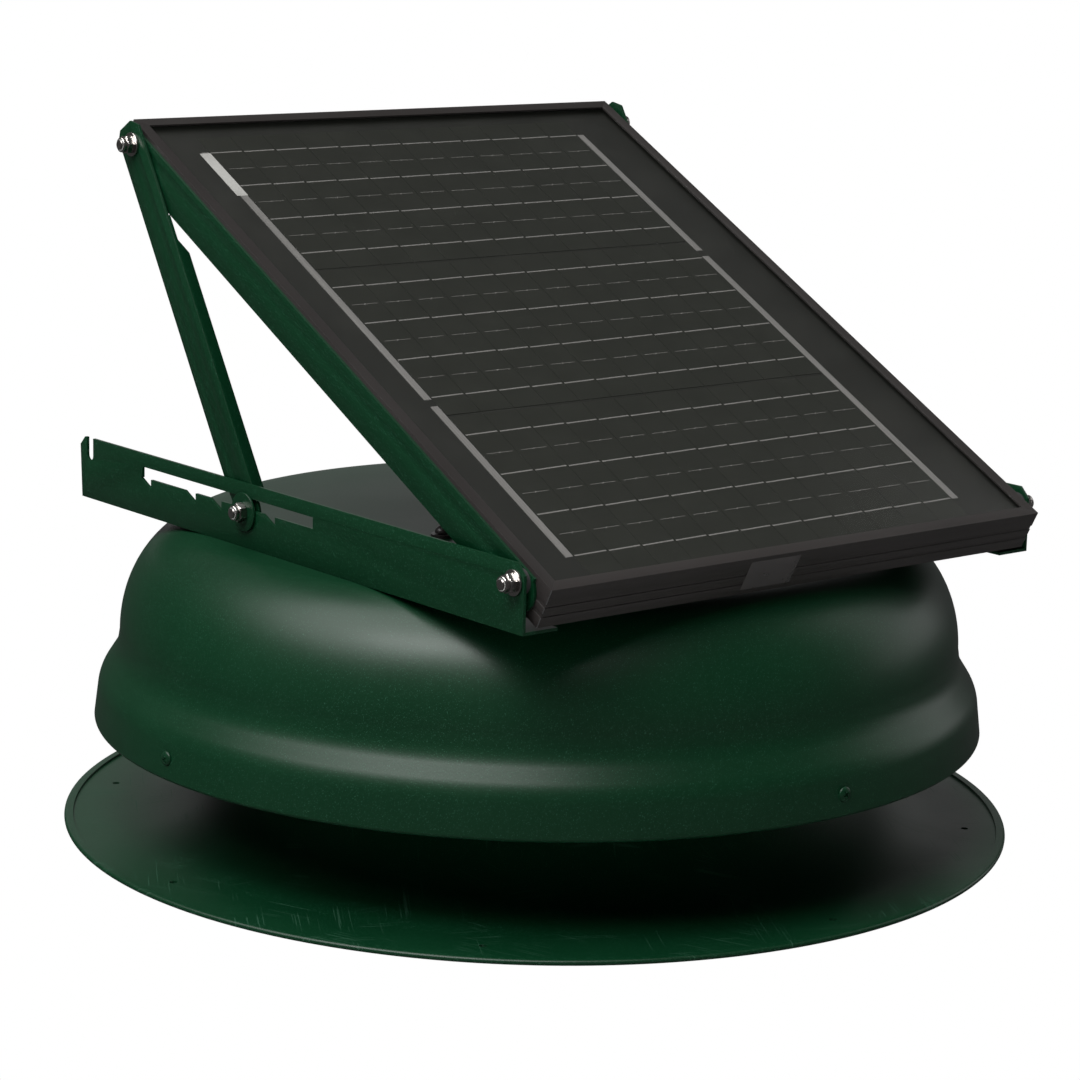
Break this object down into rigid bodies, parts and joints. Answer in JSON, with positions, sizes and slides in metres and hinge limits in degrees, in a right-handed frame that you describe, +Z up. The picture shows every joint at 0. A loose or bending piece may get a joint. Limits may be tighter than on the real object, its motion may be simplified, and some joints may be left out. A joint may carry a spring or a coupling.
{
  "type": "solar attic fan",
  "caption": "Round roof fan: flanged flashing with a throat, domed hood on legs, motor-driven fan, and a solar panel that tilts on slotted rails.",
  "frame": {"origin": "centre of the flashing's underside, on the roof surface", "axes": "+Z up along the fan's shaft; X along the panel's hinge; the panel's low edge faces -Y and its high end +Y"},
  "size_m": [0.642, 0.642, 0.465],
  "materials": {
    "green_paint": "satin dark green powder coat",
    "zinc_steel": "zinc-plated steel",
    "black_rubber": "matt rubber or nylon",
    "black_plastic": "moulded black plastic",
    "black_steel": "black finished steel",
    "motor_paint": "satin black enamel",
    "bare_aluminium": "mill finish",
    "black_frame": "black anodised aluminium",
    "solar_glass": "low-iron tempered glass over black cells",
    "solar_cell": "near-black silicon",
    "tinned_ribbon": "tinned copper ribbon",
    "backsheet": "black backsheet",
    "stainless": "polished stainless steel"
  },
  "bodies": {
    "root": {"flashing": "green_paint", "hood": "green_paint", "hood_legs": "zinc_steel", "leg_rivets": "zinc_steel", "rim_screws": "green_paint", "bird_screen": "zinc_steel", "motor_plate": "zinc_steel", "motor_isolators": "black_rubber", "dome_bolts": "black_steel", "dome_washers": "black_steel", "dome_nuts": "stainless", "motor_can": "motor_paint", "motor_end_cap": "bare_aluminium", "motor_screws": "stainless", "rail_left": "green_paint", "rail_right": "green_paint", "rail_bolts": "stainless", "rail_nuts": "stainless", "cable_gland": "black_rubber"},
    "rotor": {"rotor_shaft": "stainless", "fan_hub": "bare_aluminium", "fan_blade_1": "bare_aluminium", "fan_blade_2": "bare_aluminium", "fan_blade_3": "bare_aluminium", "fan_blade_4": "bare_aluminium", "fan_blade_5": "bare_aluminium", "hub_set_screw": "stainless"},
    "panel": {"frame_front": "black_frame", "frame_back": "black_frame", "frame_left": "black_frame", "frame_right": "black_frame", "corner_keys": "bare_aluminium", "glass": "solar_glass", "solar_cells": "solar_cell", "bus_ribbons": "tinned_ribbon", "backsheet": "backsheet", "junction_box": "black_plastic", "junction_box_lid": "black_plastic", "box_gland": "black_rubber", "side_bracket_left": "green_paint", "side_bracket_right": "green_paint", "bracket_screws": "stainless", "bracket_studs": "stainless", "hinge_spacers": "black_rubber", "pivot_spacers": "black_rubber", "bracket_washers": "stainless", "bracket_nuts": "stainless"},
    "strut_left": {"strut_left": "green_paint", "foot_stud_left": "stainless", "foot_washer_left": "green_paint", "foot_nut_left": "stainless"},
    "strut_right": {"strut_right": "green_paint", "foot_stud_right": "stainless", "foot_washer_right": "green_paint", "foot_nut_right": "stainless"}
  },
  "joints": [
    {"name": "fan_spin", "type": "hinge", "parent": "root", "child": "rotor", "pos_m": [0, 0, 0.095], "axis": [0, 0, 1], "continuous": true},
    {"name": "panel_tilt", "type": "hinge", "parent": "root", "child": "panel", "pos_m": [0, -0.2359, 0.2316], "axis": [1, 0, 0], "range_deg": [-3, 5.7]},
    {"name": "strut_left_fold", "type": "hinge", "parent": "panel", "child": "strut_left", "pos_m": [-0.2094, 0.18026, 0.44916], "axis": [1, 0, 0], "range_deg": [-6.2, 11.7]},
    {"name": "strut_right_fold", "type": "hinge", "parent": "panel", "child": "strut_right", "pos_m": [0.2094, 0.18026, 0.44916], "axis": [1, 0, 0], "range_deg": [-6.2, 11.7]}
  ],
  "couplings": [
    {"joint": "strut_left_fold", "follows": "panel_tilt", "ratio": 2.02},
    {"joint": "strut_right_fold", "follows": "panel_tilt", "ratio": 2.02}
  ]
}
